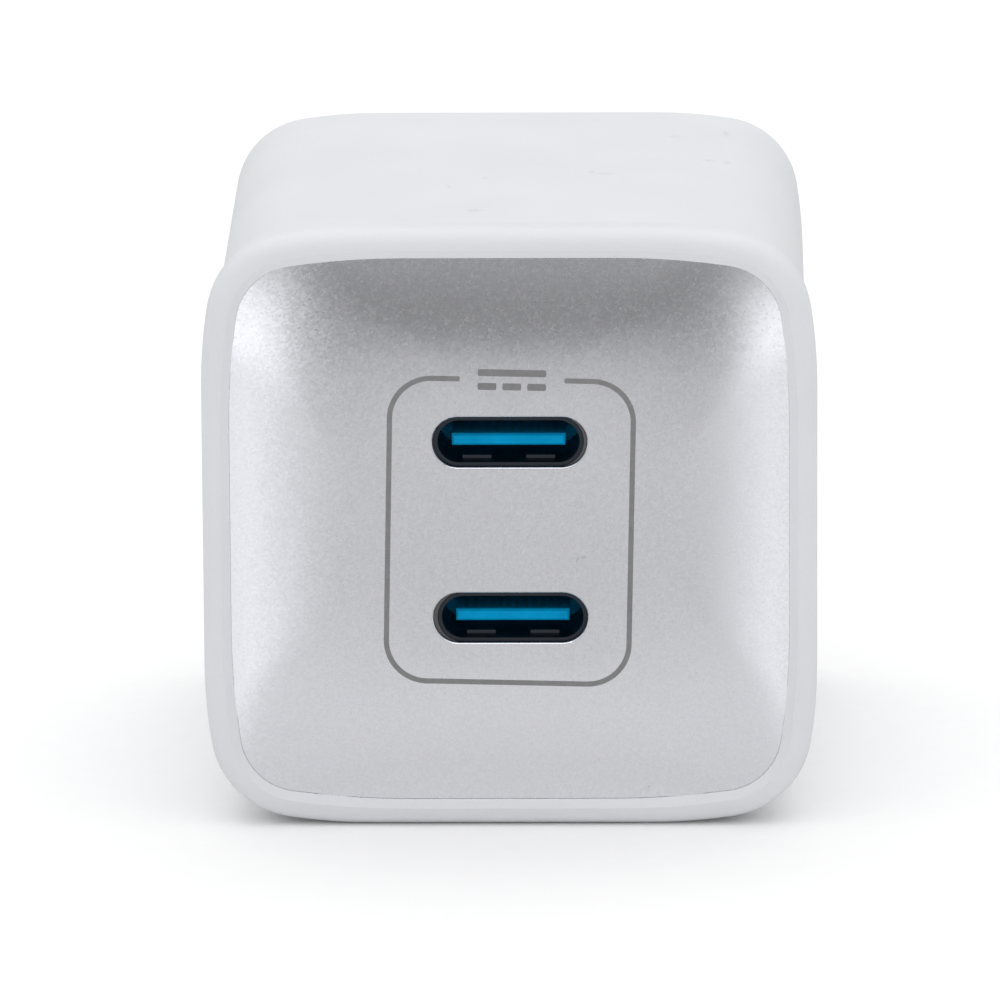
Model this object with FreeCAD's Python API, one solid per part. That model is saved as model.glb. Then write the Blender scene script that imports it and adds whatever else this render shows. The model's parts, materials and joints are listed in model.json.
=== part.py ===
import FreeCAD, Part
import math
import os

# Two-port USB-C wall charger with a fold-out plug, in millimetres.
# Working frame: +X right, +Z up, y = 0 on the crest of the front rim and growing
# to the rear, z = 0 at the middle of the section. Written out with the origin at
# the bottom centre of the whole.

V = FreeCAD.Vector
AY = V(0, 1, 0)

# ---- driving sizes -------------------------------------------------------
RIM = 36.2              # front rim, square, across the flats
DEPTH = 35.0            # rim crest to rear face
RIM_OVER = 0.6          # rim stands out over the body, each side
R_CORNER = 5.45         # tight radius in the middle of each rim corner
R_BLEND = 30.0          # easing radius on both sides of it
BLEND_DEG = 9.1
CREST_IN = 1.25         # crest of the rim, in from its outermost line
RIM_LAND = 0.65         # straight part of the rim behind its rounding
FLARE = 3.0             # length of the run from rim to body
WALL = 1.6
REAR_R = 1.0            # rounding of the rear edge

LIP_HALF = 16.46        # opening of the rim, half its width
LIP_R1, LIP_R2 = 3.70, 45.7
LIP_DEG = 8.34
BEVEL_W, BEVEL_D = 0.50, 0.27   # flat bevel from the crest down to the opening
LIP_BACK = 0.42         # underside of the lip that holds the plate
TUCK = 0.15             # plate flange runs in under the lip
GROOVE = 0.02           # fine line between lip and plate
GROOVE_D = 0.03

DISH_HALF = 16.41
EDGE_Y = 0.45           # front edge of the face plate, behind the crest
FLAT_Y = 1.85           # flat middle of the dish, behind the crest
DISH_END = 11.0         # where the dish runs out into the flat
DISH_R = 6.4            # corner radius of the dish contours
PLATE_T = 1.2
SEAT_Y = 2.35           # ledge under the plate flange

PORT_PITCH = 10.70
PORT_MID = -0.43        # middle of the pair, over the middle of the section
SLOT_W, SLOT_H = 9.08, 3.02
SLOT_D = 0.28           # wide part of the slot, over the close hole round the socket
SLOT_FIT = 0.03
SHELL_W, SHELL_H, SHELL_T = 8.82, 3.00, 0.22
TONGUE_W, TONGUE_T = 6.69, 0.70
PORT_DX = (-0.07, 0.12)  # upper and lower socket, sideways in their slots
BOARD_Y = 8.9
BOARD_T = 1.0

PIVOT_Y, PIVOT_Z = 31.4, 7.4
BLADE_X, BLADE_T, BLADE_W = 6.35, 1.5, 6.3
BLADE_TIP = 20.0
NECK_W = 4.0
TAIL_W, TAIL_R = 3.0, 5.75
BARREL_R, BARREL_X = 3.4, 9.2
JOURNAL_R, JOURNAL_X = 1.6, 11.4
SLOT_GAP = 0.3
COVER_T = 2.2
COVER_GAP = 0.1

HALF = RIM / 2.0
PHI = math.radians(BLEND_DEG)
BODY = HALF - RIM_OVER


# ---- helpers -------------------------------------------------------------
def box(x0, x1, y0, y1, z0, z1):
    return Part.makeBox(x1 - x0, y1 - y0, z1 - z0, V(x0, y0, z0))


def cyl(r, p, d, length):
    return Part.makeCylinder(r, length, V(*p), V(*d))


def fuse(shapes):
    s = shapes[0].multiFuse(shapes[1:]) if len(shapes) > 1 else shapes[0]
    return s.removeSplitter()


def corner_data(a, r1, r2, phi=PHI):
    s, c = math.sin(phi), math.cos(phi)
    xs = a - r2 + (r2 - r1) * (c - s)
    c1 = a - r2 + (r2 - r1) * c
    return xs, c1


def rot_xz(p, k):
    x, z = p
    for _ in range(k):
        x, z = z, -x
    return x, z


def outline_wire(off, y, form=(HALF, R_CORNER, R_BLEND, PHI)):
    """Closed rounded-square outline, off outside the given line, at depth y."""
    a, r1, r2, phi = form[0] + off, form[1] + off, form[2] + off, form[3]
    xs, c1 = corner_data(a, r1, r2, phi)
    s, c = math.sin(phi), math.cos(phi)
    h = phi / 2
    pts = [
        ((-xs, a), None),
        ((xs, a), None),
        ((xs + r2 * s, a - r2 + r2 * c), (xs + r2 * math.sin(h), a - r2 + r2 * math.cos(h))),
        ((c1 + r1 * c, c1 + r1 * s), (c1 + r1 * math.sqrt(0.5), c1 + r1 * math.sqrt(0.5))),
        ((a, xs), (a - r2 + r2 * math.cos(h), xs + r2 * math.sin(h))),
    ]
    edges = []
    for k in range(4):
        last = None
        for p, mid in pts:
            q = rot_xz(p, k)
            q = V(q[0], y, q[1])
            if last is not None:
                if mid is None:
                    edges.append(Part.LineSegment(last, q).toShape())
                else:
                    m = rot_xz(mid, k)
                    edges.append(Part.Arc(last, V(m[0], y, m[1]), q).toShape())
            last = q
    return Part.Wire(edges)


LIP_LINE = (LIP_HALF, LIP_R1, LIP_R2, math.radians(LIP_DEG))


def prism(off, y0, y1):
    return Part.Face(outline_wire(off, y0)).extrude(V(0, y1 - y0, 0))


def lip_prism(off, y0, y1):
    return Part.Face(outline_wire(off, y0, LIP_LINE)).extrude(V(0, y1 - y0, 0))


def ring(profile):
    """Carry a closed profile, made by profile(o, y) -> edges, round the rim line."""
    xs, c1 = corner_data(HALF, R_CORNER, R_BLEND)
    s, c = math.sin(PHI), math.cos(PHI)

    def face(px, pz, nx, nz):
        edges = profile(lambda o, y: V(px + nx * o, y, pz + nz * o))
        return Part.Face(Part.Wire(edges))

    pieces = [face(-xs, HALF, 0, 1).extrude(V(2 * xs, 0, 0))]
    arcs = [
        ((xs, HALF), (0, 1), (xs, HALF - R_BLEND), BLEND_DEG),
        ((xs + R_BLEND * s, HALF - R_BLEND + R_BLEND * c), (s, c), (c1, c1), 90 - 2 * BLEND_DEG),
        ((c1 + R_CORNER * c, c1 + R_CORNER * s), (c, s), (HALF - R_BLEND, xs), BLEND_DEG),
    ]
    for (px, pz), (nx, nz), (qx, qz), deg in arcs:
        pieces.append(face(px, pz, nx, nz).revolve(V(qx, 0, qz), AY, deg))
    solids = []
    for k in range(4):
        for p in pieces:
            q = p.copy()
            q.rotate(V(0, 0, 0), AY, 90 * k)
            solids.append(q)
    return fuse(solids)


def stadium(w, h, x, z, y0, y1):
    """Racetrack bar along Y, w wide and h high."""
    r = h / 2.0
    e = [
        Part.LineSegment(V(x - w / 2 + r, y0, z + r), V(x + w / 2 - r, y0, z + r)).toShape(),
        Part.Arc(V(x + w / 2 - r, y0, z + r), V(x + w / 2, y0, z), V(x + w / 2 - r, y0, z - r)).toShape(),
        Part.LineSegment(V(x + w / 2 - r, y0, z - r), V(x - w / 2 + r, y0, z - r)).toShape(),
        Part.Arc(V(x - w / 2 + r, y0, z - r), V(x - w / 2, y0, z), V(x - w / 2 + r, y0, z + r)).toShape(),
    ]
    return Part.Face(Part.Wire(e)).extrude(V(0, y1 - y0, 0))


def sheet_yz(points, x0, x1):
    """Flat plate between x0 and x1 from a closed outline in (y, z)."""
    w = Part.makePolygon([V(x0, y, z) for y, z in points + points[:1]])
    return Part.Face(w).extrude(V(x1 - x0, 0, 0))


def strip_yz(path, t, x0, x1):
    """Bent strip of thickness t along an open path in (y, z)."""
    left, right = [], []
    n = len(path)
    for i, (y, z) in enumerate(path):
        dirs = []
        if i > 0:
            dirs.append((y - path[i - 1][0], z - path[i - 1][1]))
        if i < n - 1:
            dirs.append((path[i + 1][0] - y, path[i + 1][1] - z))
        nrm = []
        for dy, dz in dirs:
            l = math.hypot(dy, dz)
            nrm.append((-dz / l, dy / l))
        my = sum(q[0] for q in nrm) / len(nrm)
        mz = sum(q[1] for q in nrm) / len(nrm)
        k = (t / 2) / (my * my + mz * mz)
        left.append((y + my * k, z + mz * k))
        right.append((y - my * k, z - mz * k))
    return sheet_yz(left + right[::-1], x0, x1)


def mirror_x(shape):
    return shape.mirror(V(0, 0, 0), V(1, 0, 0))


nodes = {}

# ---- outer shell ---------------------------------------------------------
IN_WALL = -RIM_OVER - WALL - 0.4      # inner wall, from the rim line
REBATE = -RIM_OVER - WALL             # rebate that takes the rear cover
LEDGE = -3.0


def shell_profile(P):
    r = CREST_IN
    y_land = r
    y_fl0 = r + RIM_LAND
    y_fl1 = y_fl0 + FLARE
    ym = (y_fl0 + y_fl1) / 2
    rad = (FLARE ** 2 + RIM_OVER ** 2) / (4 * RIM_OVER)
    half_ang = math.asin((FLARE / 2) / rad) / 2
    m1 = (-rad + rad * math.cos(half_ang), y_fl0 + rad * math.sin(half_ang))
    m2 = (-RIM_OVER + rad - rad * math.cos(half_ang), y_fl1 - rad * math.sin(half_ang))
    q = math.sqrt(0.5)

    def line(a, b):
        return Part.LineSegment(P(*a), P(*b)).toShape()

    def arc(a, m, b):
        return Part.Arc(P(*a), P(*m), P(*b)).toShape()

    b = -RIM_OVER
    return [
        arc((-r, 0), (-r + r * q, r - r * q), (0, y_land)),
        line((0, y_land), (0, y_fl0)),
        arc((0, y_fl0), m1, (-RIM_OVER / 2, ym)),
        arc((-RIM_OVER / 2, ym), m2, (b, y_fl1)),
        line((b, y_fl1), (b, DEPTH - REAR_R)),
        arc((b, DEPTH - REAR_R), (b - REAR_R + REAR_R * q, DEPTH - REAR_R + REAR_R * q), (b - REAR_R, DEPTH)),
        line((b - REAR_R, DEPTH), (REBATE, DEPTH)),
        line((REBATE, DEPTH), (REBATE, DEPTH - COVER_T)),
        line((REBATE, DEPTH - COVER_T), (IN_WALL, DEPTH - COVER_T)),
        line((IN_WALL, DEPTH - COVER_T), (IN_WALL, SEAT_Y + 1.6)),
        line((IN_WALL, SEAT_Y + 1.6), (LEDGE, SEAT_Y + 1.2)),
        line((LEDGE, SEAT_Y + 1.2), (LEDGE, 0)),
        line((LEDGE, 0), (-r, 0)),
    ]


shell = ring(shell_profile)
ahead = 0.2
bevel = Part.makeLoft([
    outline_wire(BEVEL_W * (1 + ahead / BEVEL_D), -ahead, LIP_LINE), outline_wire(0, BEVEL_D, LIP_LINE)], True, True)
for tool in (bevel, lip_prism(0, BEVEL_D - 0.05, LIP_BACK + 0.1), lip_prism(TUCK + 0.05, LIP_BACK, SEAT_Y)):
    shell = shell.cut(tool)
MB_Z1 = -11.4
MB_Z0 = MB_Z1 - 1.2
rail = box(13.7, 16.4, 11.0, 24.0, MB_Z0 - 1.2, MB_Z0).common(prism(-RIM_OVER - 0.8, 5, 30))
shell = fuse([shell, rail, mirror_x(rail)])
nodes["outer_shell"] = shell

# ---- face plate ----------------------------------------------------------
PLATE_BACK = FLAT_Y + PLATE_T


def dish_depth(t):
    u = 1 - min(t, DISH_END) / DISH_END
    return (FLAT_Y - EDGE_Y) * (1 - u ** 3)


def dish_y(x, z):
    sx, sz = DISH_HALF - abs(x), DISH_HALF - abs(z)
    d = abs(sx - sz)
    if d >= DISH_R:
        t = min(sx, sz)
    else:
        t = (sx + sz) / 2 - DISH_R + math.sqrt(2 * DISH_R ** 2 - d * d) / 2
    return EDGE_Y + dish_depth(t)


N = 40
SPAN = 17.2
grid = []
for i in range(N + 1):
    x = -SPAN + 2 * SPAN * i / N
    grid.append([V(x, dish_y(x, -SPAN + 2 * SPAN * j / N), -SPAN + 2 * SPAN * j / N) for j in range(N + 1)])
bs = Part.BSplineSurface()
bs.interpolate(grid)
dish_tool = bs.toShape().extrude(V(0, -6, 0))
if dish_tool.ShapeType != "Solid":
    dish_tool = dish_tool.Solids[0]

plate = fuse([
    lip_prism(-GROOVE, 0.2, SEAT_Y), lip_prism(TUCK, EDGE_Y + GROOVE_D, SEAT_Y), prism(LEDGE - 0.12, SEAT_Y - 0.01, PLATE_BACK)])
plate = plate.cut(dish_tool)
PORT_Z = (PORT_MID + PORT_PITCH / 2, PORT_MID - PORT_PITCH / 2)
EASE = 0.15


def slot_tool(z):
    """Slot with a rounded front edge, turned from one racetrack profile."""
    w2, r = (SLOT_W - SLOT_H) / 2, SLOT_H / 2

    def prof(P):
        q = math.sqrt(0.5)
        y0 = FLAT_Y - 0.02
        pts = [(-r, y0 - 0.4), (EASE, y0 - 0.4), (EASE, y0)]
        e = [Part.LineSegment(P(*pts[0]), P(*pts[1])).toShape(), Part.LineSegment(P(*pts[1]), P(*pts[2])).toShape()]
        e.append(Part.Arc(P(EASE, y0), P(EASE - EASE * q, y0 + EASE - EASE * q), P(0, y0 + EASE)).toShape())
        e.append(Part.LineSegment(P(0, y0 + EASE), P(0, FLAT_Y + SLOT_D)).toShape())
        e.append(Part.LineSegment(P(0, FLAT_Y + SLOT_D), P(-r, FLAT_Y + SLOT_D)).toShape())
        e.append(Part.LineSegment(P(-r, FLAT_Y + SLOT_D), P(*pts[0])).toShape())
        return e

    up = Part.Face(Part.Wire(prof(lambda o, y: V(-w2, y, z + r + o)))).extrude(V(2 * w2, 0, 0))
    dn = Part.Face(Part.Wire(prof(lambda o, y: V(-w2, y, z - r - o)))).extrude(V(2 * w2, 0, 0))
    rt = Part.Face(Part.Wire(prof(lambda o, y: V(w2, y, z + r + o)))).revolve(V(w2, 0, z), AY, 180)
    lf = Part.Face(Part.Wire(prof(lambda o, y: V(-w2, y, z - r - o)))).revolve(V(-w2, 0, z), AY, 180)
    return fuse([up, dn, rt, lf])


for z, dx in zip(PORT_Z, PORT_DX):
    plate = plate.cut(slot_tool(z))
    plate = plate.cut(stadium(SHELL_W + 2 * SLOT_FIT, SHELL_H + 2 * SLOT_FIT, dx, z, FLAT_Y + SLOT_D - 0.02, PLATE_BACK + 0.5))
posts = [cyl(1.1, (x, PLATE_BACK - 0.01, z), (0, 1, 0), BOARD_Y - PLATE_BACK + 0.01) for x in (-10.6, 10.6) for z in (-10.6, 10.6)]
plate = fuse([plate] + posts)
nodes["face_plate"] = plate

# ---- USB-C sockets -------------------------------------------------------
MOUTH_Y = FLAT_Y + SLOT_D + 0.02
TIP_Y = FLAT_Y + 0.75
BASE_Y = 6.9
contact_cut, leg_cut = [], []
for name, z, dx in (("upper", PORT_Z[0], PORT_DX[0]), ("lower", PORT_Z[1], PORT_DX[1])):
    iw, ih = SHELL_W - 2 * SHELL_T, SHELL_H - 2 * SHELL_T
    tube = stadium(SHELL_W, SHELL_H, dx, z, MOUTH_Y, BOARD_Y).cut(stadium(iw, ih, dx, z, MOUTH_Y - 1, BOARD_Y + 1))
    ribs = []
    for sx in (-1.88, 1.88):
        for up in (-1, 1):
            zc = z + up * ih / 2
            y0 = MOUTH_Y + 1.05
            ribs.append(sheet_yz([(y0, zc + up * 0.05), (y0, zc), (y0 + 0.042, zc - up * 0.18), (y0 + 1.0, zc), (y0 + 1.0, zc + up * 0.05)], dx + sx - 0.85, dx + sx + 0.85))
    legs = []
    for sx in (-1, 1):
        x0 = dx + sx * SHELL_W / 2
        for y0, y1 in ((BOARD_Y - 1.6, BOARD_Y + 1.6),):
            legs.append(box(min(x0, x0 - sx * SHELL_T), max(x0, x0 - sx * SHELL_T), y0, y1, z - 0.55, z + 0.55))
    shell_c = fuse([tube] + ribs + legs)
    leg_cut += [b.common(box(-20, 20, BOARD_Y, BOARD_Y + BOARD_T, -20, 20)) for b in legs]
    base = stadium(iw, ih, dx, z, BASE_Y, BOARD_Y)
    tongue = box(dx - TONGUE_W / 2, dx + TONGUE_W / 2, TIP_Y, BASE_Y + 0.1, z - TONGUE_T / 2, z + TONGUE_T / 2)
    front = [e for e in tongue.Edges if abs(e.BoundBox.YMax - TIP_Y) < 1e-6 and abs(e.BoundBox.YMin - TIP_Y) < 1e-6]
    tongue = tongue.makeChamfer(0.12, front)
    insul = fuse([base, tongue])
    mid = box(dx - TONGUE_W / 2, dx + TONGUE_W / 2, TIP_Y + 0.5, BASE_Y + 1.2, z - 0.075, z + 0.075)
    pins = []
    for i in range(12):
        xc = dx - 2.75 + 0.5 * i
        for up in (-1, 1):
            zt = z + up * TONGUE_T / 2
            pins.append(box(xc - 0.13, xc + 0.13, TIP_Y + 0.45, BOARD_Y + BOARD_T + 0.4, min(zt, zt - up * 0.12), max(zt, zt - up * 0.12)))
    pin_group = Part.makeCompound(pins)
    insul = insul.cut(mid)
    for p in pins:
        insul = insul.cut(p)
    contact_cut += pins
    nodes[name + "_port_shell"] = shell_c
    nodes[name + "_port_tongue"] = insul
    nodes[name + "_port_midplate"] = mid
    nodes[name + "_port_contacts"] = pin_group

port_board = box(-12.6, 12.6, BOARD_Y, BOARD_Y + BOARD_T, -12.6, 12.6)
for t in leg_cut + contact_cut:
    port_board = port_board.cut(t)
nodes["port_board"] = port_board

# ---- fold-out plug -------------------------------------------------------
PY, PZ = PIVOT_Y, PIVOT_Z
TIP_Z = PZ - BLADE_TIP


def blade_shape(xc):
    w, n, t = BLADE_W / 2, NECK_W / 2, TAIL_W / 2
    shoulder = PZ - BARREL_R - 0.1
    c = 1.5
    pts = [
        (PY - w + c, TIP_Z), (PY + w - c, TIP_Z), (PY + w, TIP_Z + c), (PY + w, shoulder),
        (PY + n, shoulder), (PY + n, PZ + 1.6), (PY + t, PZ + 1.6), (PY + t, PZ + TAIL_R + 1),
        (PY - t, PZ + TAIL_R + 1), (PY - t, PZ + 1.6), (PY - n, PZ + 1.6), (PY - n, shoulder),
        (PY - w, shoulder), (PY - w, TIP_Z + c),
    ]
    x0, x1 = xc - BLADE_T / 2, xc + BLADE_T / 2
    b = sheet_yz(pts, x0, x1)
    keep = fuse([cyl(TAIL_R, (x0 - 1, PY, PZ), (1, 0, 0), BLADE_T + 2), box(x0 - 1, x1 + 1, PY - 5, PY + 5, TIP_Z - 1, PZ)])
    b = b.common(keep)
    b = b.cut(cyl(1.6, (x0 - 1, PY, PZ - 15.4), (1, 0, 0), BLADE_T + 2))
    tip = [e for e in b.Edges if e.BoundBox.ZMax < TIP_Z + 1e-6 and e.BoundBox.YLength > 1]
    b = b.makeChamfer(0.4, tip)
    long = [e for e in b.Edges if e.BoundBox.XLength < 1e-6 and e.BoundBox.ZMax < shoulder + 1e-6 and e.BoundBox.ZMin > TIP_Z + 0.3 and e.BoundBox.YLength < 1e-6 and e.BoundBox.ZLength > 5]
    return b.makeChamfer(0.2, long)


right_blade = blade_shape(BLADE_X)
left_blade = mirror_x(right_blade)
nodes["left_blade"] = left_blade
nodes["right_blade"] = right_blade

barrel = cyl(BARREL_R, (-BARREL_X, PY, PZ), (1, 0, 0), 2 * BARREL_X)
edges = [e for e in barrel.Edges if len(e.Vertexes) == 1]
barrel = barrel.makeChamfer(0.3, edges)
barrel = fuse([barrel, cyl(JOURNAL_R, (-JOURNAL_X, PY, PZ), (1, 0, 0), 2 * JOURNAL_X)])
barrel = barrel.cut(right_blade).cut(left_blade)
barrel = barrel.cut(box(-3.3, 3.3, PY - BARREL_R - 1, PY - BARREL_R + 0.45, PZ - 1.2, PZ + 1.2))
barrel = barrel.cut(box(-3.3, 3.3, PY - 1.2, PY + 1.2, PZ + BARREL_R - 0.45, PZ + BARREL_R + 1))
nodes["prong_pivot"] = barrel

# ---- rear cover ----------------------------------------------------------
COVER_Y0 = DEPTH - COVER_T
HOUSE_Y = 26.75
sw = BLADE_T / 2 + SLOT_GAP
cover = [prism(REBATE - COVER_GAP, COVER_Y0, DEPTH)]
cover.append(box(-12.8, 12.8, HOUSE_Y, COVER_Y0 + 0.01, PZ - 4.8, PZ + 4.8))
for s in (-1, 1):
    cover.append(box(s * BLADE_X - sw - 1.2, s * BLADE_X + sw + 1.2, HOUSE_Y, COVER_Y0 + 0.01, TIP_Z - 1.7, PZ + TAIL_R + 1.45))
cover.append(box(-10.8, 10.8, COVER_Y0 - 1.5, COVER_Y0 + 0.01, -14.7, -4.0))
cover = fuse(cover)
cut = []
for s in (-1, 1):
    x0, x1 = s * BLADE_X - sw, s * BLADE_X + sw
    cut.append(box(x0, x1, PY - BLADE_W / 2 - SLOT_GAP, DEPTH + 1, TIP_Z - 0.5, PZ))
    cut.append(box(x0, x1, HOUSE_Y - 1, DEPTH + 1, PZ - 3.6, PZ + 3.5))
    cut.append(box(x0, x1, HOUSE_Y - 1, 33.4, PZ, PZ + TAIL_R + 0.3))
    a, b = sorted((s * (BARREL_X + 0.1), s * (JOURNAL_X + 0.2)))
    cut.append(cyl(JOURNAL_R + 0.05, (a, PY, PZ), (1, 0, 0), b - a))
    cut.append(box(a, b, HOUSE_Y - 1, PY, PZ - JOURNAL_R - 0.05, PZ + JOURNAL_R + 0.05))
    cut.append(cyl(0.7, (s * 10.9, HOUSE_Y - 1, PZ + 3.3), (0, 1, 0), 4.4))
cut.append(cyl(BARREL_R + 0.2, (-BARREL_X - 0.2, PY, PZ), (1, 0, 0), 2 * BARREL_X + 0.4))
cut.append(box(-BARREL_X - 0.2, BARREL_X + 0.2, HOUSE_Y - 1, PY, PZ - BARREL_R - 0.2, PZ + BARREL_R + 0.2))
cut.append(box(-BARREL_X - 0.2, BARREL_X + 0.2, PY, DEPTH + 1, PZ - 2.6, PZ + 2.6))
cut.append(cyl(5.0, (-9.6, DEPTH + 2.5, -9.2), (1, 0, 0), 19.2))
for t in cut:
    cover = cover.cut(t)
cover = cover.removeSplitter()
brim = [e for e in cover.Edges if e.BoundBox.YMin > DEPTH - 1e-6 and e.BoundBox.XMax < 12 and e.BoundBox.XMin > -12 and e.BoundBox.ZMax < 12 and e.BoundBox.ZMin > -14.4]
cover = cover.makeChamfer(0.2, brim)
nodes["rear_cover"] = cover

# ---- bearing retainer, springs and leads --------------------------------
RET_Y = 25.6
ret = [box(-12.8, 12.8, RET_Y, HOUSE_Y, PZ - 4.8, PZ + 4.8)]
for s in (-1, 1):
    a, b = sorted((s * 9.5, s * 11.5))
    ret.append(box(a, b, HOUSE_Y - 0.01, PY, PZ - JOURNAL_R, PZ + JOURNAL_R))
ret = fuse(ret)
for s in (-1, 1):
    a, b = sorted((s * 9.3, s * 11.7))
    ret = ret.cut(cyl(JOURNAL_R + 0.05, (a, PY, PZ), (1, 0, 0), b - a))
    ret = ret.cut(box(s * BLADE_X - sw, s * BLADE_X + sw, RET_Y - 1, HOUSE_Y + 0.5, PZ - 2.0, PZ + 4.0))
    ret = ret.cut(cyl(0.85, (s * 10.9, RET_Y - 1, PZ + 3.3), (0, 1, 0), 3))
nodes["pivot_retainer"] = ret

screws = []
for s in (-1, 1):
    head = cyl(1.4, (s * 10.9, RET_Y - 0.8, PZ + 3.3), (0, 1, 0), 0.8)
    shank = cyl(0.7, (s * 10.9, RET_Y - 0.1, PZ + 3.3), (0, 1, 0), 4.3)
    sc = fuse([head, shank])
    sc = sc.cut(box(s * 10.9 - 0.9, s * 10.9 + 0.9, RET_Y - 1, RET_Y - 0.45, PZ + 3.15, PZ + 3.45))
    sc = sc.cut(box(s * 10.9 - 0.15, s * 10.9 + 0.15, RET_Y - 1, RET_Y - 0.45, PZ + 2.4, PZ + 4.2))
    screws.append(sc)
nodes["retainer_screws"] = Part.makeCompound(screws)

SPRING_Y = RET_Y - 0.3
right_spring = box(BLADE_X - 1.6, BLADE_X + 1.6, SPRING_Y, RET_Y, PZ - 9.4, PZ + 4.6)
nodes["right_contact_spring"] = right_spring
nodes["left_contact_spring"] = mirror_x(right_spring)

leaf = strip_yz(
    [(HOUSE_Y + 0.15, PZ + 3.3), (HOUSE_Y + 0.15, PZ + 2.3), (28.22, PZ + 0.5), (28.22, PZ - 0.5), (HOUSE_Y + 0.15, PZ - 2.3), (HOUSE_Y + 0.15, PZ - 3.3)],
    0.3, -3.0, 3.0,
)
nodes["detent_spring"] = leaf

lead_z = PZ - 8.3
bend = 0.7
for name, s in (("live_lead", 1), ("neutral_lead", -1)):
    x = s * BLADE_X
    ly = SPRING_Y - bend
    down = cyl(0.6, (x, ly, MB_Z1), (0, 0, 1), lead_z - bend - MB_Z1)
    circ = Part.Face(Part.Wire([Part.makeCircle(0.6, V(x, ly, lead_z - bend), V(0, 0, 1))]))
    turn = circ.revolve(V(x, SPRING_Y, lead_z - bend), V(1, 0, 0), -90)
    nodes[name] = fuse([down, turn])

# ---- boards and electronics ---------------------------------------------
MB_Y0, MB_Y1 = BOARD_Y + BOARD_T, 25.2
main_board = box(-14.5, 14.5, MB_Y0, MB_Y1, MB_Z0, MB_Z1)
lead_tools = []


def legged_can(r, x, y, z0, z1, pitch):
    can = cyl(r, (x, y, z0), (0, 0, 1), z1 - z0)
    top = [e for e in can.Edges if len(e.Vertexes) == 1 and abs(e.BoundBox.ZMin - z1) < 1e-6]
    can = can.makeFillet(0.6, top)
    groove = Part.makeTorus(r + 0.25, 0.6, V(x, y, z0 + 1.6), V(0, 0, 1))
    can = can.cut(groove)
    legs = [cyl(0.3, (x + s * pitch / 2, y, MB_Z0 - 0.5), (0, 0, 1), z0 - MB_Z0 + 0.51) for s in (-1, 1)]
    lead_tools.extend(legs)
    return fuse([can] + legs)


nodes["bulk_capacitor_rear"] = legged_can(4.0, 4.9, 19.9, MB_Z1, 6.6, 3.5)
nodes["bulk_capacitor_front"] = legged_can(4.0, 10.4, 14.0, MB_Z1, 6.6, 3.5)

TX, TY = -7.2, 17.2
low = fuse([
    box(TX - 6.8, TX + 6.8, TY - 5, TY + 5, -10.4, -8.4),
    box(TX - 6.8, TX - 5.0, TY - 5, TY + 5, -8.5, -2.9),
    box(TX + 5.0, TX + 6.8, TY - 5, TY + 5, -8.5, -2.9),
    cyl(2.6, (TX, TY, -8.5), (0, 0, 1), 5.5),
])
upp = fuse([
    box(TX - 6.8, TX + 6.8, TY - 5, TY + 5, 2.6, 4.6),
    box(TX - 6.8, TX - 5.0, TY - 5, TY + 5, -2.9, 2.7),
    box(TX + 5.0, TX + 6.8, TY - 5, TY + 5, -2.9, 2.7),
    cyl(2.6, (TX, TY, -2.8), (0, 0, 1), 5.5),
])
nodes["transformer_lower_core"] = low
nodes["transformer_upper_core"] = upp
bob = fuse([
    cyl(3.3, (TX, TY, -8.3), (0, 0, 1), 10.8),
    box(TX - 4.9, TX + 4.9, TY - 6.4, TY + 6.4, -8.3, -7.6),
    box(TX - 4.9, TX + 4.9, TY - 6.4, TY + 6.4, 1.8, 2.5),
    box(TX - 4.9, TX + 4.9, TY - 6.4, TY - 5.1, MB_Z1, -7.7),
    box(TX - 4.9, TX + 4.9, TY + 5.1, TY + 6.4, MB_Z1, -7.7),
]).cut(cyl(2.7, (TX, TY, -9), (0, 0, 1), 13))
pins = [cyl(0.3, (TX + px, TY + s * 5.75, MB_Z0 - 0.5), (0, 0, 1), 1.71) for px in (-3.5, 0, 3.5) for s in (-1, 1)]
lead_tools.extend(pins)
nodes["transformer_bobbin"] = fuse([bob] + pins)
nodes["transformer_winding"] = cyl(4.8, (TX, TY, -7.6), (0, 0, 1), 9.4).cut(cyl(3.3, (TX, TY, -8), (0, 0, 1), 11))

CX, CY, CZ = 3.2, 13.0, -8.1
core = cyl(2.7, (CX, CY - 1.1, CZ), (0, 1, 0), 2.2).cut(cyl(1.3, (CX, CY - 2, CZ), (0, 1, 0), 4))
wind = cyl(3.1, (CX, CY - 1.5, CZ), (0, 1, 0), 3.0).cut(cyl(0.9, (CX, CY - 2, CZ), (0, 1, 0), 4)).cut(core)
wind = wind.cut(box(CX - 0.7, CX + 0.7, CY - 3, CY + 3, CZ - 4, CZ + 4))
nodes["choke_core"] = core
nodes["choke_winding"] = wind

fz = MB_Z1 + 1.5
fuse_body = fuse([cyl(1.5, (12.8, 18.6, fz), (0, 1, 0), 1.4), cyl(1.35, (12.8, 19.9, fz), (0, 1, 0), 3.7), cyl(1.5, (12.8, 23.5, fz), (0, 1, 0), 1.4)])
nodes["input_fuse"] = fuse_body
disc = cyl(2.7, (9.2, 21.7, MB_Z1 + 3.2), (1, 0, 0), 2.0)
disc = disc.makeFillet(0.7, [e for e in disc.Edges if len(e.Vertexes) == 1])
dl = [cyl(0.25, (10.2, 21.7 + s * 1.8, MB_Z0 - 0.5), (0, 0, 1), 3.4) for s in (-1, 1)]
lead_tools.extend(dl)
nodes["safety_capacitor"] = fuse([disc] + dl)

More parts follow.
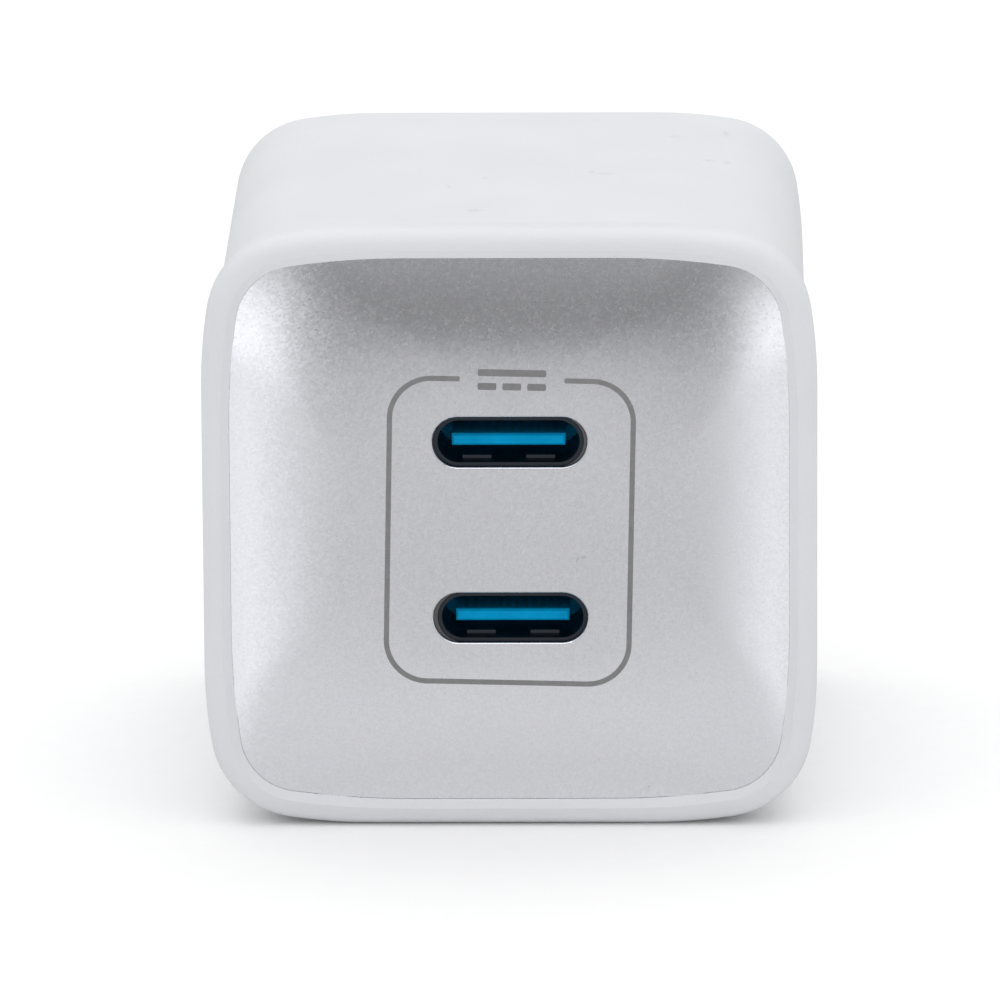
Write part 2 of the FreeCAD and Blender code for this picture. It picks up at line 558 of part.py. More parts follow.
outs, can_r = [], 3.15
for x in (-9.4, -2.8):
    can = cyl(can_r, (x, BOARD_Y + BOARD_T, 9.4), (0, 1, 0), 8.0)
    can = can.makeFillet(0.5, [e for e in can.Edges if len(e.Vertexes) == 1 and e.BoundBox.YMin > BOARD_Y + 5])
    outs.append(can)
nodes["output_capacitors"] = Part.makeCompound(outs)
ind = []
for x in (-4.2, 4.2):
    b = box(x - 3, x + 3, BOARD_Y - 3.0, BOARD_Y, PORT_MID - 2.8, PORT_MID + 2.8)
    ind.append(b.makeChamfer(0.7, [e for e in b.Edges if e.BoundBox.YLength > 2]))
nodes["output_inductors"] = Part.makeCompound(ind)


def chip(x0, x1, y0, y1, z0, z1, axis):
    b = box(x0, x1, y0, y1, z0, z1)
    return b.makeChamfer(0.12, [e for e in b.Edges if getattr(e.BoundBox, axis + "Length") > 0.5])


nodes["power_chip"] = chip(-7.0, -1.0, 14.5, 19.5, MB_Z0 - 0.9, MB_Z0, "Z")
nodes["rectifier_chip"] = chip(2.2, 7.2, 11.4, 16.4, MB_Z0 - 0.9, MB_Z0, "Z")
nodes["bridge_rectifier"] = chip(-13.0, -8.4, 12.6, 17.2, MB_Z0 - 1.1, MB_Z0, "Z")
nodes["port_chips"] = Part.makeCompound([chip(x - 2, x + 2, MB_Y0, MB_Y0 + 0.9, 7.6, 11.6, "Y") for x in (3.8, 9.6)])
nodes["thermal_pad"] = box(-8.0, 0.0, 13.5, 20.5, MB_Z0 - 1.9, MB_Z0 - 0.9)
nodes["heat_spreader"] = box(-11.4, 11.4, 10.4, 24.8, MB_Z0 - 2.4, MB_Z0 - 1.9)
nodes["insulation_sheet"] = box(-11.4, 11.4, 10.2, 25.0, MB_Z0 - 2.7, MB_Z0 - 2.4)

for t in lead_tools:
    main_board = main_board.cut(t)
nodes["main_board"] = main_board

# ---- write out -----------------------------------------------------------
os.makedirs("parts", exist_ok=True)
for name, shape in nodes.items():
    s = shape.copy()
    s.translate(V(0, -DEPTH / 2, HALF))
    s.exportStep("parts/" + name + ".step")
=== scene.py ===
import bpy
import json
import math
from mathutils import Matrix, Vector


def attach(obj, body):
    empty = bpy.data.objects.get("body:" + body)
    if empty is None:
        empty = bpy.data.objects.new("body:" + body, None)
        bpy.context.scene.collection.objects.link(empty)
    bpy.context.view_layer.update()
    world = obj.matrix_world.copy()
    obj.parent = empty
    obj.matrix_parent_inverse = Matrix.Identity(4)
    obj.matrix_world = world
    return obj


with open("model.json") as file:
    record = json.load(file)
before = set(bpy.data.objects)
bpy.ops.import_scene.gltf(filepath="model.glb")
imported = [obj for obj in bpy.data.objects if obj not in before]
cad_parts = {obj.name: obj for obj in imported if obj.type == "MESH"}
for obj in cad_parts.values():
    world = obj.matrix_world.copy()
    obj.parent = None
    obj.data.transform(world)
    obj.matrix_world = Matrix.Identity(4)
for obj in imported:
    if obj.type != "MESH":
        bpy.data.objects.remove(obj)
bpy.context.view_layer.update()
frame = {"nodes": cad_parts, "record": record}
NODES = frame["nodes"]
MM = 0.001

# The face is described in millimetres from the middle of the rim's crest:
# x to the right, y to the rear, z up.
ORIGIN = Vector((0.0, -17.5, 18.1))


def at(x, y, z):
    return Vector((x + ORIGIN.x, y + ORIGIN.y, z + ORIGIN.z)) * MM


# ---------------------------------------------------------------- node helpers
class Shader:
    """One procedural material: a Principled shader and what feeds it."""

    def __init__(self, name, **flat):
        self.mat = bpy.data.materials.new(name)
        self.mat.use_nodes = True
        self.nt = self.mat.node_tree
        self.nt.nodes.clear()
        self.out = self.nt.nodes.new("ShaderNodeOutputMaterial")
        self.bsdf = self.nt.nodes.new("ShaderNodeBsdfPrincipled")
        self.nt.links.new(self.bsdf.outputs[0], self.out.inputs[0])
        self.coord = self.nt.nodes.new("ShaderNodeTexCoord").outputs["Object"]
        for key, value in flat.items():
            self.set(key.replace("_", " "), value)

    def set(self, socket, value):
        self.bsdf.inputs[socket].default_value = value

    def link(self, socket, source):
        self.nt.links.new(source, self.bsdf.inputs[socket])

    def node(self, kind, **props):
        n = self.nt.nodes.new(kind)
        for k, v in props.items():
            setattr(n, k, v)
        return n

    def wire(self, source, target):
        self.nt.links.new(source, target)

    def scaled(self, sx=1.0, sy=1.0, sz=1.0):
        n = self.node("ShaderNodeMapping")
        n.inputs["Scale"].default_value = (sx, sy, sz)
        self.wire(self.coord, n.inputs["Vector"])
        return n.outputs[0]

    def noise(self, size_mm, detail=2.0, rough=0.5, vector=None, distortion=0.0):
        n = self.node("ShaderNodeTexNoise")
        n.inputs["Scale"].default_value = 1000.0 / size_mm
        n.inputs["Detail"].default_value = detail
        n.inputs["Roughness"].default_value = rough
        n.inputs["Distortion"].default_value = distortion
        self.wire(vector or self.coord, n.inputs["Vector"])
        return n.outputs["Fac"]

    def cells(self, size_mm, feature="F1", vector=None):
        n = self.node("ShaderNodeTexVoronoi", feature=feature)
        n.inputs["Scale"].default_value = 1000.0 / size_mm
        self.wire(vector or self.coord, n.inputs["Vector"])
        return n

    def spread(self, source, lo, hi, a=0.0, b=1.0):
        """Map source from a..b onto lo..hi."""
        n = self.node("ShaderNodeMapRange")
        for i, v in enumerate((a, b, lo, hi)):
            n.inputs[1 + i].default_value = v
        self.wire(source, n.inputs[0])
        return n.outputs[0]

    def math(self, op, a, b=None, clamp=False):
        n = self.node("ShaderNodeMath", operation=op, use_clamp=clamp)
        for i, v in enumerate((a, b)):
            if v is None:
                continue
            if isinstance(v, (int, float)):
                n.inputs[i].default_value = v
            else:
                self.wire(v, n.inputs[i])
        return n.outputs[0]

    def mix(self, fac, a, b, blend="MIX"):
        n = self.node("ShaderNodeMix", data_type="RGBA", blend_type=blend)
        if isinstance(fac, (int, float)):
            n.inputs["Factor"].default_value = fac
        else:
            self.wire(fac, n.inputs["Factor"])
        for s, v in ((n.inputs[6], a), (n.inputs[7], b)):
            if isinstance(v, tuple):
                s.default_value = (*v, 1.0)
            else:
                self.wire(v, s)
        return n.outputs[2]

    def spots(self, u, v, places):
        """Soft oval spots, given by middle and half sizes in mm."""
        all_spots = None
        for x, y, hx, hy in places:
            dx = self.math("MULTIPLY", self.math("SUBTRACT", u, x * MM), 1.0 / (hx * MM))
            dy = self.math("MULTIPLY", self.math("SUBTRACT", v, y * MM), 1.0 / (hy * MM))
            r = self.math("SQRT", self.math("ADD", self.math("MULTIPLY", dx, dx), self.math("MULTIPLY", dy, dy)))
            m = self.spread(r, 1.0, 0.0, 0.3, 1.0)
            all_spots = m if all_spots is None else self.math("MAXIMUM", all_spots, m)
        return all_spots

    def bump(self, height, depth_mm, strength=1.0, normal=None):
        n = self.node("ShaderNodeBump")
        n.inputs["Strength"].default_value = strength
        n.inputs["Distance"].default_value = depth_mm * MM
        self.wire(height, n.inputs["Height"])
        if normal is not None:
            self.wire(normal, n.inputs["Normal"])
        return n.outputs[0]


def shade(c, k):
    return tuple(min(1.0, v * k) for v in c)


# ------------------------------------------------------------------- materials
def plastic(name, colour, rough, grain_mm=0.25, grain_depth=0.004, vary=0.05, **more):
    """Moulded plastic: a faint cloudiness, a spark-eroded grain and uneven gloss."""
    s = Shader(name, **more)
    cloud = s.noise(6.0, 3.0)
    grain = s.noise(grain_mm, 2.0, 0.6)
    both = s.math("ADD", s.spread(cloud, -0.7, 0.7, 0.3, 0.7), s.spread(grain, -0.3, 0.3, 0.3, 0.7))
    s.link("Base Color", s.mix(s.spread(both, 0.0, 1.0, -1.0, 1.0), shade(colour, 1 - vary), shade(colour, 1 + vary)))
    s.link("Roughness", s.spread(s.math("ADD", cloud, grain), rough - 0.05, rough + 0.05, 0.7, 1.3))
    s.link("Normal", s.bump(grain, grain_depth))
    return s.mat


def metal(name, colour, rough, grain=(1, 1, 1), size_mm=0.3, depth=0.002, vary=0.06, tarnish=None, **more):
    """Bare or plated metal with drawing lines along the short axis of grain."""
    s = Shader(name, **more)
    s.set("Metallic", 1.0)
    lines = s.noise(size_mm, 3.0, 0.6, s.scaled(*grain))
    cloud = s.noise(2.5, 3.0)
    c = s.mix(s.spread(lines, 0.0, 1.0, 0.3, 0.7), shade(colour, 1 - vary), shade(colour, 1 + vary))
    if tarnish:
        c = s.mix(s.spread(cloud, 0.0, 0.5, 0.5, 0.75), c, tarnish)
    s.link("Base Color", c)
    s.link("Roughness", s.spread(s.math("ADD", lines, cloud), rough - 0.07, rough + 0.07, 0.7, 1.3))
    s.link("Normal", s.bump(lines, depth))
    return s.mat


def white_shell():
    """Satin white moulding with a fine grain, and a few faint rubs on the top."""
    s = Shader("fin_white_shell")
    cloud = s.noise(7.0, 3.0)
    grain = s.noise(0.22, 2.0, 0.6)
    base = s.mix(s.spread(cloud, 0.0, 1.0, 0.3, 0.7), (0.720, 0.732, 0.760), (0.742, 0.754, 0.780))
    base = s.mix(s.spread(grain, 0.0, 0.10, 0.35, 0.7), base, (0.66, 0.668, 0.684))
    # rubs: short smears, given by their place and half sizes on the top (x, y in mm)
    sep = s.node("ShaderNodeSeparateXYZ")
    s.wire(s.coord, sep.inputs[0])
    up = s.spread(sep.outputs["Z"], 0.0, 1.0, 0.0345, 0.0352)
    torn = s.noise(0.16, 3.0, 0.7)
    rubs = s.spots(sep.outputs["X"], sep.outputs["Y"], RUBS)
    rub = s.math("MULTIPLY", s.math("MULTIPLY", rubs, up), s.spread(torn, 0.2, 1.0, 0.40, 0.60))
    base = s.mix(s.math("MULTIPLY", rub, 0.75), base, (0.57, 0.575, 0.59))
    s.link("Base Color", base)
    rough = s.spread(s.math("ADD", cloud, grain), 0.40, 0.52, 0.7, 1.3)
    s.link("Roughness", s.math("SUBTRACT", rough, s.math("MULTIPLY", rub, 0.12)))
    s.link("Normal", s.bump(grain, 0.004, 0.6))
    s.set("Specular IOR Level", 0.45)
    return s.mat


def silver_paint():
    """Silver flake paint: tiny flakes tilted each its own way under a satin skin."""
    s = Shader("fin_silver_paint")
    s.set("Metallic", 1.0)
    flake = s.cells(0.14)
    tone = s.node("ShaderNodeSeparateColor")
    s.wire(flake.outputs["Color"], tone.inputs[0])
    cloud = s.noise(5.0, 2.0)
    c = s.mix(s.spread(tone.outputs[0], 0.0, 1.0), (0.842, 0.845, 0.890), (0.892, 0.895, 0.942))
    c = s.mix(s.spread(cloud, 0.0, 0.25, 0.3, 0.7), c, (0.860, 0.863, 0.908))
    # round the slots: a darker band on the rounded edge round each slot, and painted shade inside: the recessed walls
    # of each slot are painted dark grey
    sep = s.node("ShaderNodeSeparateXYZ")
    s.wire(s.coord, sep.inputs[0])
    run = s.math("MAXIMUM", s.math("SUBTRACT", s.math("ABSOLUTE", sep.outputs["X"]), SLOT_RUN * MM), 0.0)
    edge = None
    for z in SLOT_Z:
        dz = s.math("SUBTRACT", sep.outputs["Z"], z * MM)
        d = s.math("SQRT", s.math("ADD", s.math("MULTIPLY", run, run), s.math("MULTIPLY", dz, dz)))
        edge = d if edge is None else s.math("MINIMUM", edge, d)
    deep = s.spread(sep.outputs["Y"], 0.0, 1.0, (FLAT_Y + 0.06) * MM, (FLAT_Y + 0.12) * MM)
    rim = s.spread(edge, 1.0, 0.0, (SLOT_R + 0.08) * MM, (SLOT_R + 0.17) * MM)
    c = s.mix(s.math("MULTIPLY", rim, 0.5), c, (0.66, 0.66, 0.69))
    near = s.spread(edge, 1.0, 0.0, (SLOT_R + 0.01) * MM, (SLOT_R + 0.03) * MM)
    nicks = s.spots(sep.outputs["X"], sep.outputs["Z"], NICKS)
    c = s.mix(s.math("MULTIPLY", nicks, 0.26), c, (0.25, 0.25, 0.26))
    # painted shade: the recessed slot walls behind the plate's front are painted dark grey for the shade inside the
    # slots
    slot_painted_shade = s.math("MULTIPLY", near, deep)
    c = s.mix(slot_painted_shade, c, (0.16, 0.16, 0.165))
    s.link("Base Color", c)
    # most flakes are smooth; a few rough ones catch light from all round and sparkle in the dark part
    few = s.math("POWER", tone.outputs[1], 3.0)
    s.link("Roughness", s.spread(few, 0.230, 0.290))
    # every flake leans a little out of the surface
    lean = s.node("ShaderNodeVectorMath", operation="SUBTRACT")
    s.wire(flake.outputs["Color"], lean.inputs[0])
    lean.inputs[1].default_value = (0.5, 0.5, 0.5)
    amount = s.node("ShaderNodeVectorMath", operation="SCALE")
    amount.inputs["Scale"].default_value = 0.022
    s.wire(lean.outputs[0], amount.inputs[0])
    geo = s.node("ShaderNodeNewGeometry")
    add = s.node("ShaderNodeVectorMath", operation="ADD")
    s.wire(geo.outputs["Normal"], add.inputs[0])
    s.wire(amount.outputs[0], add.inputs[1])
    norm = s.node("ShaderNodeVectorMath", operation="NORMALIZE")
    s.wire(add.outputs[0], norm.inputs[0])
    fine = s.noise(0.12, 2.0, 0.6)
    s.link("Normal", s.bump(fine, 0.001, 0.12, norm.outputs[0]))
    return s.mat


def ink():
    """Grey pad print: thin, slightly uneven, with a soft gloss."""
    s = Shader("fin_grey_ink")
    patch = s.noise(0.5, 3.0)
    grain = s.noise(0.09, 2.0)
    c = s.mix(s.spread(patch, 0.0, 1.0, 0.3, 0.7), (0.195, 0.195, 0.200), (0.225, 0.225, 0.230))
    c = s.mix(s.spread(grain, 0.0, 0.2, 0.45, 0.7), c, (0.27, 0.27, 0.275))
    s.link("Base Color", c)
    s.link("Roughness", s.spread(patch, 0.45, 0.60, 0.3, 0.7))
    s.link("Normal", s.bump(grain, 0.003, 0.5))
    return s.mat


def blue_insulator():
    s = Shader("fin_blue_insulator")
    s.set("Specular IOR Level", 0.04)
    cloud = s.noise(1.2, 3.0)
    grain = s.noise(0.08, 2.0)
    c = s.mix(s.spread(cloud, 0.0, 1.0, 0.3, 0.7), (0.0, 0.285, 0.565), (0.0, 0.345, 0.665))
    s.link("Base Color", s.mix(s.spread(grain, 0.0, 0.25, 0.4, 0.7), c, (0.0, 0.215, 0.47)))
    s.link("Roughness", s.spread(s.math("ADD", cloud, grain), 0.30, 0.42, 0.7, 1.3))
    s.link("Normal", s.bump(grain, 0.002, 0.5))
    return s.mat


# places of the faint rubs on the top of the body: x, y (part frame, mm), half sizes
RUBS = [
    (4.69, 0.46, 0.26, 0.60), (5.60, 0.00, 0.80, 0.32), (11.76, 4.24, 0.45, 0.45), (12.84, 4.37, 0.28, 0.55),
    (12.79, 12.06, 0.26, 0.90), (9.70, 10.05, 0.45, 0.45), (-1.63, -1.07, 0.24, 0.45), (-3.76, -3.41, 0.16, 0.40),
    (-2.10, -9.50, 0.60, 0.50),
]
# a short hooked scratch and a speck on the plate: x, z (part frame, mm), half sizes
NICKS = [(4.29, 16.025, 0.30, 0.075), (4.03, 15.97, 0.13, 0.10), (3.945, 15.82, 0.09, 0.18), (8.144, 2.298, 0.12, 0.09)]

# the two slots in the plate: half run of the straights, end radius, heights, plate front
SLOT_RUN, SLOT_R = 3.03, 1.51
SLOT_Z = (23.02, 12.32)
FLAT_Y = 1.85 - 17.5

FINISH = {
    "white_shell": white_shell(),
    "silver_paint": silver_paint(),
    # the socket shells are coloured near black (about 0.05), far darker than bare steel
    "socket_steel": metal("fin_socket_steel", (0.048, 0.056, 0.068), 0.38, (1, 0.06, 1), 0.12, 0.0015),
    "blue_insulator": blue_insulator(),
    "contact_plating": plastic("fin_contact_plating", (0.0, 0.26, 0.49), 0.46, 0.10, 0.001, 0.08, Metallic=0.10),
    "plated_brass": metal("fin_plated_brass", (0.72, 0.71, 0.68), 0.24, (1, 1, 0.05), 0.10, 0.0012, tarnish=(0.62, 0.60, 0.56)),
    "bronze_spring": metal("fin_bronze_spring", (0.70, 0.43, 0.23), 0.32, (1, 1, 0.06), 0.12, 0.001, tarnish=(0.48, 0.27, 0.14)),
    "plain_steel": metal("fin_plain_steel", (0.52, 0.52, 0.53), 0.33, (0.08, 1, 1), 0.10, 0.001),
    "lead_cover": plastic("fin_lead_cover", (0.028, 0.028, 0.030), 0.48, 0.3, 0.004, 0.15),
    "board_green": plastic("fin_board_green", (0.016, 0.150, 0.062), 0.30, 0.45, 0.003, 0.18),
    "ferrite": plastic("fin_ferrite", (0.060, 0.060, 0.065), 0.62, 0.20, 0.010, 0.20),
    "black_nylon": plastic("fin_black_nylon", (0.022, 0.022, 0.024), 0.45, 0.25, 0.004, 0.15),
    "winding_tape": plastic("fin_winding_tape", (0.78, 0.56, 0.06), 0.30, 0.8, 0.006, 0.06),
    "copper_wire": metal("fin_copper_wire", (0.70, 0.28, 0.12), 0.26, (1, 1, 0.3), 0.12, 0.002),
    "capacitor_sleeve": plastic("fin_capacitor_sleeve", (0.022, 0.024, 0.032), 0.26, 0.9, 0.004, 0.12),
    "capacitor_can": metal("fin_capacitor_can", (0.74, 0.74, 0.75), 0.30, (1, 1, 0.1), 0.10, 0.001),
    "glazed_ceramic": plastic("fin_glazed_ceramic", (0.78, 0.75, 0.68), 0.22, 0.7, 0.003, 0.05),
    "disc_coating": plastic("fin_disc_coating", (0.03, 0.15, 0.46), 0.42, 0.35, 0.008, 0.12),
    "chip_resin": plastic("fin_chip_resin", (0.018, 0.018, 0.019), 0.58, 0.10, 0.004, 0.20),
    "pad_rubber": plastic("fin_pad_rubber", (0.40, 0.42, 0.45), 0.70, 0.5, 0.006, 0.08),
    "plain_aluminium": metal("fin_plain_aluminium", (0.76, 0.76, 0.77), 0.34, (0.05, 1, 1), 0.12, 0.0015),
    "insulating_film": plastic("fin_insulating_film", (0.80, 0.76, 0.62), 0.28, 1.2, 0.003, 0.05),
}

for part in frame["record"]["subparts"]:
    obj = NODES[part["node"]]
    for holder in obj.material_slots:
        holder.material = FINISH[part["material_slot"]]

# ------------------------------------------------------ print on the face plate
DISH_HALF = 16.41       # half width of the plate
DISH_EDGE = 0.45
DISH_RISE = 1.40
DISH_END = 11.0
DISH_R = 6.4


def dish_y(x, z):
    """Depth of the plate's front, behind the rim's crest."""
    sx, sz = DISH_HALF - abs(x), DISH_HALF - abs(z)
    d = abs(sx - sz)
    if d >= DISH_R:
        t = min(sx, sz)
    else:
        t = (sx + sz) / 2 - DISH_R + math.sqrt(2 * DISH_R ** 2 - d * d) / 2
    u = 1 - min(t, DISH_END) / DISH_END
    return DISH_EDGE + DISH_RISE * (1 - u ** 3)


INK_T = 0.014           # ink stands this far out of the plate
INK_IN = 0.006          # and its edge goes this far into it


def inked(verts, faces, outline):
    """Make a printed layer: verts are (x, z) on the plate, outline the closed border."""
    co = [at(x, dish_y(x, z) - INK_T, z) for x, z in verts]
    polys = [tuple(f) for f in faces]
    for loop in outline:
        base = len(co)
        for i in loop:
            x, z = verts[i]
            co.append(at(x, dish_y(x, z) + INK_IN, z))
        n = len(loop)
        for j in range(n):
            a, b = loop[j], loop[(j + 1) % n]
            polys.append((a, b, base + (j + 1) % n, base + j))
    return co, polys


def finish_mesh(name, co, polys, material):
    me = bpy.data.meshes.new(name)
    me.from_pydata([tuple(c) for c in co], [], polys)
    me.validate()
    me.materials.append(material)
    ob = bpy.data.objects.new(name, me)
    bpy.context.scene.collection.objects.link(ob)
    return ob


def ribbon(path, width):
    """Flat band along an open path of (x, z), with rounded ends: verts, faces, border."""
    n = len(path)
    cols = 4
    verts, faces = [], []
    for i, (x, z) in enumerate(path):
        a, b = path[max(i - 1, 0)], path[min(i + 1, n - 1)]
        dx, dz = b[0] - a[0], b[1] - a[1]
        l = math.hypot(dx, dz)
        nx, nz = -dz / l, dx / l
        for c in range(cols + 1):
            o = (c / cols - 0.5) * width
            verts.append((x + nx * o, z + nz * o))
    for i in range(n - 1):
        for c in range(cols):
            p = i * (cols + 1) + c
            faces.append((p, p + 1, p + cols + 2, p + cols + 1))
    w = cols + 1
    left = [i * w + cols for i in range(n)]
    right = [i * w for i in range(n)]
    caps = []
    for end, sign in ((n - 1, 1), (0, -1)):
        a = path[n - 2] if sign > 0 else path[1]
        x, z = path[end]
        dx, dz = x - a[0], z - a[1]
        l = math.hypot(dx, dz)
        ux, uz = dx / l, dz / l
        first = verts[left[end]] if sign > 0 else verts[right[end]]
        arc = []
        r = 0.07
        vx, vz = first[0] - x, first[1] - z
        for k in range(1, 6):
            t = math.pi * k / 6
            px = x + vx * math.cos(t) + ux * r * math.sin(t)
            pz = z + vz * math.cos(t) + uz * r * math.sin(t)
            arc.append(len(verts))
            verts.append((px, pz))
        caps.append(arc)
        row = [end * w + c for c in range(w)]
        if sign > 0:
            faces.append(tuple(row + arc))
        else:
            faces.append(tuple(row[::-1] + arc))
    border = right + caps[0][::-1] + left[::-1] + caps[1][::-1]
    return verts, faces, [border]


def outline_path():
    """Rounded rectangle printed round the sockets, open at the top."""
    hw, hh, r = 7.17, 9.22, 2.45
    cx, cz, turn = -0.033, -0.485, math.radians(-1.25)
    pts = []

    def run(x0, z0, x1, z1, step=0.35):
        n = max(1, int(math.hypot(x1 - x0, z1 - z0) / step))
        for i in range(n):
            pts.append((x0 + (x1 - x0) * i / n, z0 + (z1 - z0) * i / n))

    def bend(x, z, a0, a1):
        for i in range(24):
            a = math.radians(a0 + (a1 - a0) * i / 24)
            pts.append((x + r * math.cos(a), z + r * math.sin(a)))

    run(-3.14, hh, -hw + r, hh)
    bend(-hw + r, hh - r, 90, 180)
    run(-hw, hh - r, -hw, -hh + r)
    bend(-hw + r, -hh + r, 180, 270)
    run(-hw + r, -hh, hw - r, -hh)
    bend(hw - r, -hh + r, 270, 360)
    run(hw, -hh + r, hw, hh - r)
    bend(hw - r, hh - r, 0, 90)
    run(hw - r, hh, 3.14, hh)
    pts.append((3.14, hh))
    c, s = math.cos(turn), math.sin(turn)
    return [(cx + x * c - z * s, cz + x * s + z * c) for x, z in pts]


def bar_path(x0, x1, z, step=0.2):
    turn = math.radians(-1.25)
    n = max(2, int((x1 - x0) / step))
    c, s = math.cos(turn), math.sin(turn)
    return [(0.16 + x * c - z * s, 8.72 + x * s + z * c) for x in (x0 + (x1 - x0) * i / n for i in range(n + 1))]


GREY_INK = ink()
co, polys = inked(*ribbon(outline_path(), 0.31))
outline = finish_mesh("printed_outline", co, polys, GREY_INK)
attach(outline, "case")

# direct-current sign where the outline is open: a bar over three dashes
co, polys = [], []
for x0, x1, z in ((-1.95, 1.95, 0.42), (-1.95, -0.97, -0.42), (-0.49, 0.49, -0.42), (0.97, 1.95, -0.42)):
    c2, p2 = inked(*ribbon(bar_path(x0, x1, z), 0.42))
    base = len(co)
    co += c2
    polys += [tuple(i + base for i in p) for p in p2]
sign = finish_mesh("printed_dc_sign", co, polys, GREY_INK)
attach(sign, "case")

# ----------------------------------------------------------------------- stage
fm = Shader("floor_paper", Roughness=0.9)
patch = fm.noise(60.0, 3.0)
fibre = fm.noise(1.5, 3.0)
both = fm.math("ADD", patch, fibre)
fm.link("Base Color", fm.mix(fm.spread(both, 0.0, 1.0, 0.7, 1.3), (0.955, 0.955, 0.957), (0.975, 0.975, 0.976)))
fm.set("Specular IOR Level", 0.1)
fm.link("Normal", fm.bump(fibre, 0.01, 0.2))
R = 3.0
floor = finish_mesh("floor", [(-R, -R, 0.0), (R, -R, 0.0), (R, R, 0.0), (-R, R, 0.0)], [(0, 1, 2, 3)], fm.mat)
floor.visible_glossy = False

# soft studio light: a pale room, darker towards the ground, with wide soft panels
ROOM = [    # height of the direction, brightness
    (-1.00, 0.707), (-0.84, 0.303), (-0.66, 0.247), (-0.46, 0.171), (-0.32, 0.525), (-0.18, 0.713),
    (0.00, 0.687), (0.22, 0.641), (0.50, 0.633), (1.00, 1.571),
]
PANELS = [  # way round from the front and height, both from and to, in degrees; brightness
    (14, 40, -34, -19, 1.08), (14, 40, -62, -34, 0.552),
    (-41, -20, -34, -19, 1.05), (-41, -20, -62, -34, 0.359),
    (27, 72, -19, 0, 0.273), (-72, -31, -19, 0, 0.249),
]
world = bpy.data.worlds.new("room")
bpy.context.scene.world = world
world.use_nodes = True
wn = world.node_tree
wn.nodes.clear()
w_out = wn.nodes.new("ShaderNodeOutputWorld")
w_bg = wn.nodes.new("ShaderNodeBackground")
w_co = wn.nodes.new("ShaderNodeTexCoord")
w_sep = wn.nodes.new("ShaderNodeSeparateXYZ")
w_map = wn.nodes.new("ShaderNodeMapRange")
w_map.inputs[1].default_value = -1.0
w_map.inputs[2].default_value = 1.0
w_ramp = wn.nodes.new("ShaderNodeValToRGB")
w_ramp.name = "room_ramp"
ramp = w_ramp.color_ramp
while len(ramp.elements) < len(ROOM):
    ramp.elements.new(0.5)
for el, (z, v) in zip(ramp.elements, ROOM):
    el.position = (z + 1) / 2
    el.color = (v, v, v, 1.0)
wn.links.new(w_co.outputs["Generated"], w_sep.inputs[0])
wn.links.new(w_sep.outputs["Z"], w_map.inputs[0])
wn.links.new(w_map.outputs[0], w_ramp.inputs[0])
light = w_ramp.outputs[0]


def w_math(op, a, b=None):
    n = wn.nodes.new("ShaderNodeMath")
    n.operation = op
    for i, v in enumerate((a, b)):
        if isinstance(v, (int, float)):
            n.inputs[i].default_value = v
        elif v is not None:
            wn.links.new(v, n.inputs[i])
    return n.outputs[0]


def w_band(source, lo, hi, soft):
    """1 between lo and hi degrees, with soft edges."""
    edges = []
    for a, b in ((lo - soft, lo + soft), (hi + soft, hi - soft)):
        n = wn.nodes.new("ShaderNodeMapRange")
        n.interpolation_type = "SMOOTHSTEP"
        n.inputs[1].default_value = math.radians(min(a, b))
        n.inputs[2].default_value = math.radians(max(a, b))
        n.inputs[3].default_value, n.inputs[4].default_value = (0.0, 1.0) if a < b else (1.0, 0.0)
        wn.links.new(source, n.inputs[0])
        edges.append(n.outputs[0])
    return w_math("MULTIPLY", *edges)


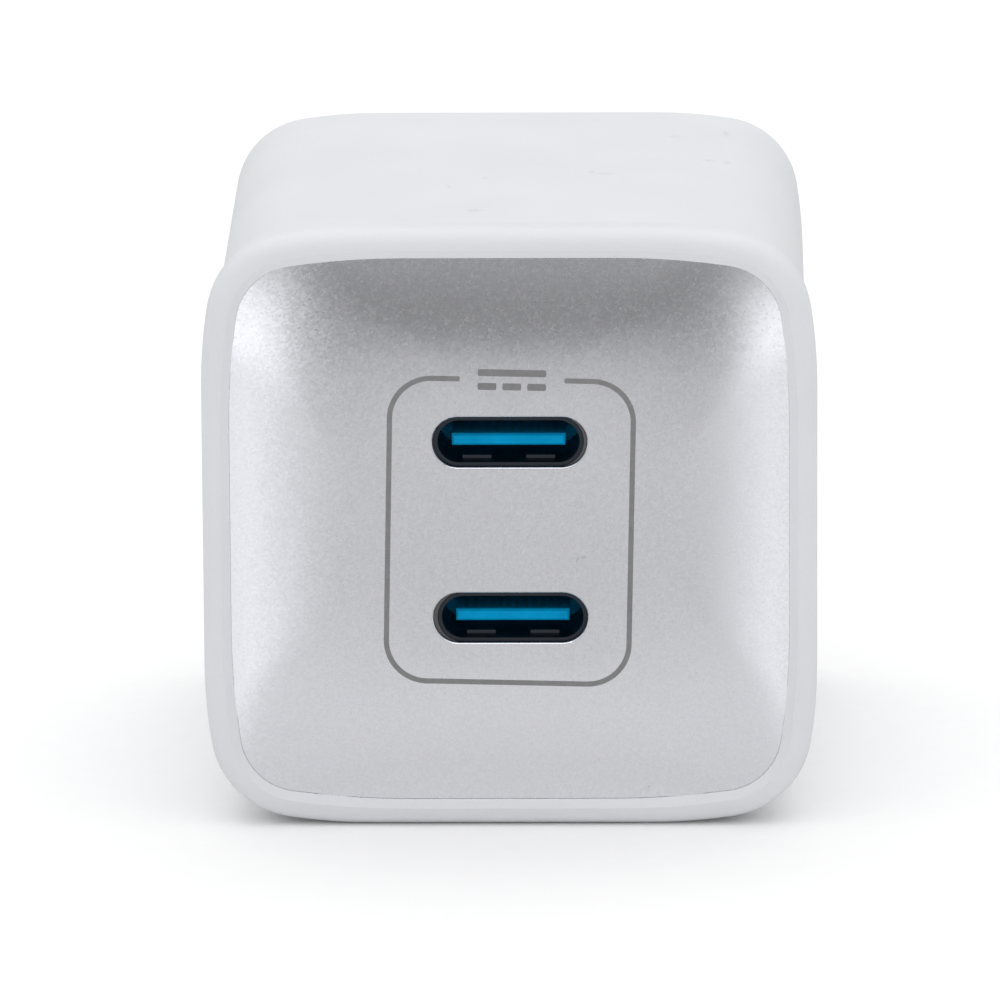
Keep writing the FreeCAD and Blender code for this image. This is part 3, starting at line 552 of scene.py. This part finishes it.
turn = w_math("ARCTAN2", w_sep.outputs["X"], w_math("MULTIPLY", w_sep.outputs["Y"], -1.0))
rise = w_math("ARCSINE", w_sep.outputs["Z"])
for i, (az0, az1, el0, el1, v) in enumerate(PANELS):
    both = w_math("MULTIPLY", w_band(turn, az0, az1, 5.0), w_band(rise, el0, el1, 5.0))
    gain = wn.nodes.new("ShaderNodeMath")
    gain.operation = "MULTIPLY_ADD"
    gain.name = "panel_%d" % i
    gain.inputs[1].default_value = v
    wn.links.new(both, gain.inputs[0])
    wn.links.new(light, gain.inputs[2])
    light = gain.outputs[0]
wn.links.new(light, w_bg.inputs["Color"])
wn.links.new(w_bg.outputs[0], w_out.inputs[0])
world.cycles.sampling_method = "NONE"


def softbox(name, place, aim, w, h, radiance, spread=180.0):
    d = bpy.data.lights.new(name, "AREA")
    d.shape = "RECTANGLE"
    d.size, d.size_y = w, h
    d.energy = radiance * w * h * math.pi
    d.color = (1.0, 1.0, 1.0)
    d.spread = math.radians(spread)
    o = bpy.data.objects.new(name, d)
    o.location = place
    o.rotation_euler = (Vector(aim) - Vector(place)).to_track_quat("-Z", "Y").to_euler()
    o.visible_camera = False
    bpy.context.scene.collection.objects.link(o)
    return o


AIM = (0.0, 0.0, 0.018)
softbox("box_top", (0.0, 0.05, 0.75), AIM, 0.80, 0.80, 0.343)

# ---------------------------------------------------------------------- camera
E, PSI, ROLL = math.radians(14.810), math.radians(0.996), math.radians(-0.343)
DIST, SCALE, CX, CY = 700.0, 17.010, 509.561, 531.423
back = Vector((math.sin(PSI) * math.cos(E), -math.cos(PSI) * math.cos(E), math.sin(E)))
right = Vector((math.cos(PSI), math.sin(PSI), 0.0))
up = back.cross(right)
r2 = right * math.cos(ROLL) + up * math.sin(ROLL)
u2 = up * math.cos(ROLL) - right * math.sin(ROLL)
eye = ORIGIN + back * DIST
aim = ORIGIN + r2 * ((500 - CX) / SCALE) + u2 * ((CY - 500) / SCALE)
zc = (eye - aim).normalized()
xc = u2.cross(zc).normalized()
yc = zc.cross(xc)
cam_data = bpy.data.cameras.new("camera")
cam_data.sensor_width = 36.0
cam_data.lens = SCALE * DIST / 1000.0 * 36.0
cam_data.clip_start = 0.01
cam_data.clip_end = 20.0
cam = bpy.data.objects.new("camera", cam_data)
m = Matrix((xc, yc, zc)).transposed().to_4x4()
m.translation = eye * MM
cam.matrix_world = m
bpy.context.scene.collection.objects.link(cam)
bpy.context.scene.camera = cam
bpy.context.scene.view_settings.view_transform = "Standard"
